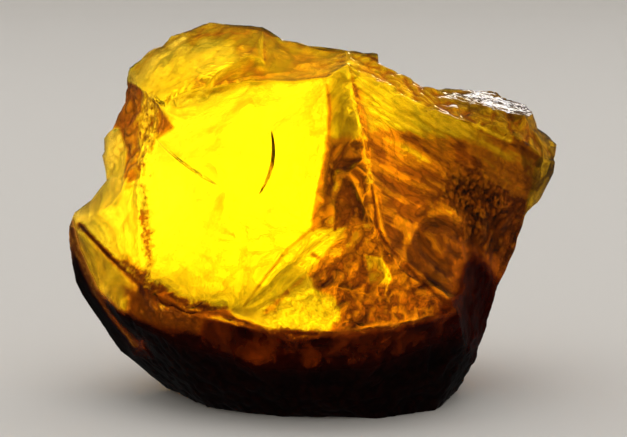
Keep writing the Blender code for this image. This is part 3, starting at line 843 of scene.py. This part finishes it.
def amber_material():
    """Amber, a fossil resin: clear and glossy where it broke, frosted and brown where it
    weathered. Light goes deep into it, so thick places look darker and redder than thin ones:
    the areas of the front give that depth here, and absorption adds to it."""
    stone = bpy.context.scene.amber_stone
    material, output = new_material("fossil_resin")
    tree = material.node_tree
    coords = add_node(tree, "ShaderNodeTexCoord").outputs["Object"]
    in_mm = add_node(tree, "ShaderNodeMapping", {"Vector": coords, "Scale": (1 / MM,) * 3})
    place = in_mm.outputs["Vector"]
    warmth, crust, stain_and_shade, murk_and_shade, crazing, on_right = (
        add_node(tree, "ShaderNodeAttribute", attribute_name=name).outputs["Fac"]
        for name in ("warmth", "crust", "stain_and_shade", "murk_and_shade", "crazing", "streaks"))
    clouds = add_node(tree, "ShaderNodeTexNoise", {
        "Vector": place, "Scale": CLOUDS_PER_MM, "Detail": 5.0, "Roughness": 0.6})
    crumbs = add_node(tree, "ShaderNodeTexNoise", {
        "Vector": place, "Scale": GRAINS_PER_MM, "Detail": 6.0, "Roughness": 0.7})
    # The resin's own colour: clouds and streaks make it deeper and lighter
    shifted = add_node(tree, "ShaderNodeMath", {0: clouds.outputs["Fac"], 1: -0.5},
                       operation="ADD").outputs[0]
    along_streaks = add_node(tree, "ShaderNodeMapping", {
        "Vector": place, "Rotation": (0.0, -STREAK_FALL, 0.0)})
    drawn_out = add_node(tree, "ShaderNodeMapping", {
        "Vector": along_streaks.outputs["Vector"], "Scale": STREAKS_PER_MM})
    streaks = add_node(tree, "ShaderNodeTexNoise",
                       {"Vector": drawn_out.outputs["Vector"], "Scale": 1.0, "Detail": 3.0})
    fine_streaks = add_node(tree, "ShaderNodeTexNoise", {
        "Vector": drawn_out.outputs["Vector"], "Scale": FINER_STREAKS, "Detail": 2.0})
    both_streaks = add_node(tree, "ShaderNodeMath", {
        0: fine_streaks.outputs["Fac"], 1: FINE_STREAKS_SHARE, 2: streaks.outputs["Fac"]},
                            operation="MULTIPLY_ADD").outputs[0]
    streak_shift = add_node(tree, "ShaderNodeMath", {
        0: both_streaks, 1: STREAK_DEPTHS, 2: STREAKS_CENTRED},
                            operation="MULTIPLY_ADD").outputs[0]
    streaked = add_node(tree, "ShaderNodeMath", {0: streak_shift, 1: on_right, 2: warmth},
                        operation="MULTIPLY_ADD").outputs[0]
    depth = add_node(tree, "ShaderNodeMath", {0: shifted, 1: CLOUD_DEPTHS, 2: streaked},
                     operation="MULTIPLY_ADD", use_clamp=True).outputs[0]
    body = add_node(tree, "ShaderNodeValToRGB", {"Fac": depth})
    stops = body.color_ramp.elements
    stops[0].color = linear(stone.honey)
    stops[1].color = linear(stone.mahogany)
    stops.new(0.3).color = linear(stone.gold)
    stops.new(0.52).color = linear(stone.orange)
    stops.new(0.75).color = linear(stone.cognac)
    body = body.outputs["Color"]
    # The oxidised film, which on the lower band and the foot is painted shade: where it lies, and how
    # much of the light its blotches hold back
    cloudy = add_node(tree, "ShaderNodeMath", {
        0: clouds.outputs["Fac"], 1: FILM_BROKEN_UP, 2: stain_and_shade},
                      operation="MULTIPLY_ADD").outputs[0]
    speckled = add_node(tree, "ShaderNodeMath", {
        0: crumbs.outputs["Fac"], 1: FILM_BROKEN_UP, 2: cloudy},
                        operation="MULTIPLY_ADD").outputs[0]
    film = add_node(tree, "ShaderNodeMath", {
        0: speckled, 1: FILM_SHARPNESS, 2: -FILM_SHARPNESS * FILM_START},
                    operation="MULTIPLY_ADD", use_clamp=True).outputs[0]
    upright = add_node(tree, "ShaderNodeMapping", {"Vector": place, "Scale": BLOTCH_STRETCH})
    mottle = add_node(tree, "ShaderNodeTexNoise", {
        "Vector": upright.outputs["Vector"], "Scale": BLOTCHES_PER_MM, "Detail": 4.0,
        "Roughness": 0.65})
    mottled = add_node(tree, "ShaderNodeMath", {
        0: mottle.outputs["Fac"], 1: BLOTCH_CONTRAST, 2: -BLOTCH_CONTRAST / 2},
                       operation="MULTIPLY_ADD").outputs[0]
    hiding = add_node(tree, "ShaderNodeMath", {0: stain_and_shade, 1: mottled}, operation="ADD",
                      use_clamp=True).outputs[0]
    hiding = add_node(tree, "ShaderNodeMath", {0: hiding, 1: HIDING_CURVE},
                      operation="POWER").outputs[0]
    hiding = add_node(tree, "ShaderNodeMath", {0: film, 1: hiding},
                      operation="MULTIPLY").outputs[0]
    # The weathered crust in two browns, the film over it and over the bare resin, and the murk, which
    # also carries painted shade in creases and on the lower band and a painted highlight on ridges
    patches = add_node(tree, "ShaderNodeMath", {0: mottle.outputs["Fac"],
                                                1: clouds.outputs["Fac"]}).outputs[0]
    rind = add_node(tree, "ShaderNodeMapRange", {
        "Value": patches, "From Min": CRUST_PATCHES[0], "From Max": CRUST_PATCHES[1]})
    rind = add_node(tree, "ShaderNodeMix", {0: rind.outputs["Result"], 6: linear(stone.rind),
                                            7: linear(stone.crust)},
                    data_type="RGBA").outputs[2]
    weathered = add_node(tree, "ShaderNodeMix", {0: crust, 6: body, 7: rind},
                         data_type="RGBA").outputs[2]
    film_depth = add_node(tree, "ShaderNodeMapRange", {
        "Value": stain_and_shade, "From Min": FILM_STAINS[0], "From Max": FILM_STAINS[1]})
    film_colour = add_node(tree, "ShaderNodeMix", {0: film_depth.outputs["Result"],
                                                   6: linear(stone.tan), 7: linear(stone.rust_and_shade)},
                           data_type="RGBA").outputs[2]
    stained = add_node(tree, "ShaderNodeMix", {0: film, 6: weathered, 7: film_colour},
                       data_type="RGBA").outputs[2]
    flecks = add_node(tree, "ShaderNodeMath", {
        0: crumbs.outputs["Fac"], 1: -FLECK_CONTRAST, 2: MURK_STRENGTH},
                      operation="MULTIPLY_ADD").outputs[0]
    darkened = add_node(tree, "ShaderNodeMath", {0: murk_and_shade, 1: flecks}, operation="MULTIPLY",
                        use_clamp=True).outputs[0]
    light_left = add_node(tree, "ShaderNodeMath", {0: 1.0, 1: darkened},
                          operation="SUBTRACT").outputs[0]
    stained = add_node(tree, "ShaderNodeVectorMath", {"Vector": stained, "Scale": light_left},
                       operation="SCALE").outputs[0]
    # How clear the resin is: crust and film hide it
    under_crust = add_node(tree, "ShaderNodeMath", {0: crust, 1: -CRUST_HIDES, 2: 1.0},
                           operation="MULTIPLY_ADD").outputs[0]
    bare = add_node(tree, "ShaderNodeMath", {0: hiding, 1: -FILM_HIDES, 2: 1.0},
                    operation="MULTIPLY_ADD").outputs[0]
    clear_share = add_node(tree, "ShaderNodeMath", {0: under_crust, 1: bare},
                           operation="MULTIPLY").outputs[0]
    rough = add_node(tree, "ShaderNodeMapRange", {
        "Value": crust, "To Min": BROKEN_ROUGHNESS, "To Max": CRUST_ROUGHNESS})
    # Crazing: the weathered skin has shrunk into plates
    drift = add_node(tree, "ShaderNodeVectorMath", {
        "Vector": crumbs.outputs["Color"], "Scale": GROOVE_WANDER}, operation="SCALE").outputs[0]
    wandering = add_node(tree, "ShaderNodeVectorMath", {0: place, 1: drift}).outputs[0]
    plates = add_node(tree, "ShaderNodeTexVoronoi",
                      {"Vector": wandering, "Scale": PLATES_PER_MM}, feature="DISTANCE_TO_EDGE")
    grooves = add_node(tree, "ShaderNodeMapRange", {
        "Value": plates.outputs["Distance"], "From Max": GROOVE_WIDTH}).outputs["Result"]
    skin = add_node(tree, "ShaderNodeMath", {
        0: grooves, 1: GROOVE_DEPTH, 2: crumbs.outputs["Fac"]},
                    operation="MULTIPLY_ADD").outputs[0]
    grain = add_node(tree, "ShaderNodeBump",
                     {"Height": skin, "Distance": SKIN_HEIGHT, "Strength": crazing})
    shader = add_node(tree, "ShaderNodeBsdfPrincipled", {
        "Base Color": stained, "Roughness": rough.outputs["Result"],
        "Normal": grain.outputs["Normal"], "IOR": stone.resin_ior,
        "Transmission Weight": clear_share, "Specular IOR Level": 0.1})
    # What is read where the link above isn't followed
    shader.inputs["Transmission Weight"].default_value = 1.0
    soak = add_node(tree, "ShaderNodeVolumeAbsorption",
                    {"Color": linear(stone.soak), "Density": SOAK_DENSITY})
    tree.links.new(shader.outputs[0], output.inputs["Surface"])
    tree.links.new(soak.outputs[0], output.inputs["Volume"])
    return material


def floor_material():
    """Matt painted board: pale and even."""
    studio = bpy.context.scene.amber_studio
    material, output = new_material("painted_board")
    tree = material.node_tree
    shader = add_node(tree, "ShaderNodeBsdfPrincipled",
                      {"Base Color": linear(studio.floor), "Roughness": 0.8})
    tree.links.new(shader.outputs[0], output.inputs["Surface"])
    return material


# ---------------------------------------------------------------- studio

def make_cove():
    """A round floor that sweeps up into a wall all round it."""
    bpy.ops.object.select_all(action="DESELECT")
    bpy.ops.mesh.primitive_circle_add(vertices=128, radius=COVE_RADIUS, fill_type="NGON")
    cove = bpy.context.object
    cove.name = "floor"
    rings = [(COVE_RADIUS + COVE_BEND * math.sin(turn), COVE_BEND * (1 - math.cos(turn)))
             for turn in np.linspace(0.0, math.pi / 2, COVE_STEPS + 1)[1:]]
    rings.append((rings[-1][0], COVE_HEIGHT))
    bpy.ops.object.mode_set(mode="EDIT")
    bpy.ops.mesh.select_mode(type="EDGE")
    bpy.ops.mesh.select_all(action="SELECT")
    bpy.ops.mesh.region_to_loop()
    reach, level = COVE_RADIUS, 0.0
    for radius, height in rings:
        bpy.ops.mesh.extrude_edges_move(TRANSFORM_OT_translate={"value": (0, 0, height - level)})
        share = radius / reach
        bpy.ops.transform.resize(value=(share, share, 1.0))
        reach, level = radius, height
    bpy.ops.object.mode_set(mode="OBJECT")
    bpy.ops.object.shade_smooth()
    return cove


# ---------------------------------------------------------------- operators

class AMBER_OT_stone(bpy.types.Operator):
    """Makes the finely surfaced stone in place of the plain solid"""

    bl_idname = "amber.stone"
    bl_label = "Amber stone"

    def execute(self, context):
        settings = context.scene.amber_stone
        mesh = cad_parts[NODE].data.copy()
        mesh.name = STONE
        piece = bpy.data.objects.new(STONE, mesh)
        context.scene.collection.objects.link(piece)
        make_active(piece)
        bpy.ops.object.mode_set(mode="EDIT")
        bpy.ops.mesh.select_all(action="SELECT")
        bpy.ops.mesh.remove_doubles(threshold=WELD_GAP)
        bpy.ops.mesh.select_all(action="DESELECT")
        bpy.ops.mesh.select_mode(type="EDGE")
        bpy.ops.mesh.edges_select_sharp(sharpness=settings.ridge_angle)
        bpy.ops.object.mode_set(mode="OBJECT")
        sharp = {index for edge in piece.data.edges if edge.select for index in edge.vertices}
        places, normals = mesh_arrays(piece.data)
        toward = np.array(eye_frame()[0]) - places
        in_front = np.einsum("ij,ij->i", normals, toward) > 0.0
        evened = np.where(in_front, 1.0, CRUST_EVENED)
        evened[list(sharp)] = 0.0
        weight_group(piece, "faces", evened)
        refine(piece, lambda facing: facing < 0.0, BACK_CUTS)
        refine(piece, lambda facing: facing >= 0.0, FRONT_CUTS)
        apply_modifier(piece, "SMOOTH", "flow", iterations=FLOW_PASSES, factor=SMOOTH_FACTOR,
                       vertex_group="faces")
        piece.vertex_groups.clear()
        places, _ = mesh_arrays(piece.data)
        weight_group(piece, "eased", line_weight(front_view(places), *TONGUE_FOOT))
        apply_modifier(piece, "SMOOTH", "ease", iterations=EASE_PASSES, factor=SMOOTH_FACTOR,
                       vertex_group="eased")
        piece.vertex_groups.clear()
        weights = surface_weights(piece.data)
        for relief in RELIEFS:
            press_relief(piece, relief, weights)
        flatten_foot(piece.data)
        describe_surface(piece.data, weights)
        cut_cracks(piece)
        piece.data.materials.clear()
        piece.data.materials.append(amber_material())
        piece.data.polygons.foreach_set("use_smooth", [True] * len(piece.data.polygons))
        piece.data.set_sharp_from_angle(angle=EDGE_ANGLE)
        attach(piece, "root")
        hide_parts(NODE)
        return {"FINISHED"}


class AMBER_OT_studio(bpy.types.Operator):
    """Makes the pale floor, the soft lights and the camera"""

    bl_idname = "amber.studio"
    bl_label = "Studio"

    def execute(self, context):
        scene = context.scene
        studio = scene.amber_studio
        floor = make_cove()
        floor.data.materials.append(floor_material())
        floor.visible_glossy = False
        stone_only = bpy.data.collections.new("stone_alone")
        stone_only.objects.link(bpy.data.objects[STONE])
        floor_only = bpy.data.collections.new("floor_alone")
        floor_only.objects.link(floor)
        for name, place, aim, width, height, watts in LAMPS:
            bpy.ops.object.light_add(type="AREA", location=place)
            lamp = context.object
            lamp.name = name
            lamp.data.shape = "RECTANGLE"
            lamp.data.size = width
            lamp.data.size_y = height
            lamp.data.energy = watts
            lamp.visible_camera = name == SOFTBOX
            lamp.visible_glossy = name == RIM
            lamp.visible_transmission = name not in (RIM, CRUST_FILL)
            lamp.visible_diffuse = name in (SOFTBOX, CRUST_FILL)
            if name != SOFTBOX:
                lamp.light_linking.receiver_collection = stone_only
            toward = Vector(aim) - Vector(place)
            lamp.rotation_euler = toward.to_track_quat("-Z", "Y").to_euler()
        for quarter in range(4):
            bpy.ops.object.light_add(type="SUN", location=(0.0, 0.0, 1.0))
            wash = context.object
            wash.name = f"floor_wash_{quarter}"
            wash.rotation_euler = (WASH_LEAN, 0.0, quarter * math.pi / 2)
            wash.data.energy = WASH_STRENGTH
            wash.data.angle = WASH_SPREAD
            wash.light_linking.receiver_collection = floor_only
        world = bpy.data.worlds.new("studio_air")
        scene.world = world
        world.use_nodes = True
        background = world.node_tree.nodes["Background"]
        background.inputs["Color"].default_value = linear(studio.air)
        background.inputs["Strength"].default_value = studio.air_strength
        scene.view_settings.view_transform = "Standard"
        bpy.ops.object.camera_add()
        camera = context.object
        camera.name = "camera"
        eye, _, _, forward = eye_frame()
        camera.location = eye
        camera.rotation_euler = forward.to_track_quat("-Z", "Y").to_euler()
        camera.data.lens = studio.lens
        camera.data.sensor_width = SENSOR_WIDTH
        camera.data.clip_start = 0.01
        camera.data.clip_end = 20.0
        scene.camera = camera
        return {"FINISHED"}


class AMBER_PT_panel(bpy.types.Panel):
    """Lists the operators in the order in which they are run"""

    bl_idname = "AMBER_PT_panel"
    bl_label = "Amber"
    bl_space_type = "VIEW_3D"
    bl_region_type = "UI"
    bl_category = "Amber"

    def draw(self, context):
        for operator in OPERATORS:
            self.layout.operator(operator.bl_idname)


OPERATORS = (AMBER_OT_stone, AMBER_OT_studio)
CLASSES = (StoneSettings, StudioSettings, *OPERATORS, AMBER_PT_panel)


def register():
    for kind in CLASSES:
        bpy.utils.register_class(kind)
    bpy.types.Scene.amber_stone = bpy.props.PointerProperty(type=StoneSettings)
    bpy.types.Scene.amber_studio = bpy.props.PointerProperty(type=StudioSettings)


def unregister():
    del bpy.types.Scene.amber_studio
    del bpy.types.Scene.amber_stone
    for kind in reversed(CLASSES):
        bpy.utils.unregister_class(kind)


def main():
    register()
    bpy.ops.amber.stone()
    bpy.ops.amber.studio()


if __name__ == "__main__":
    main()
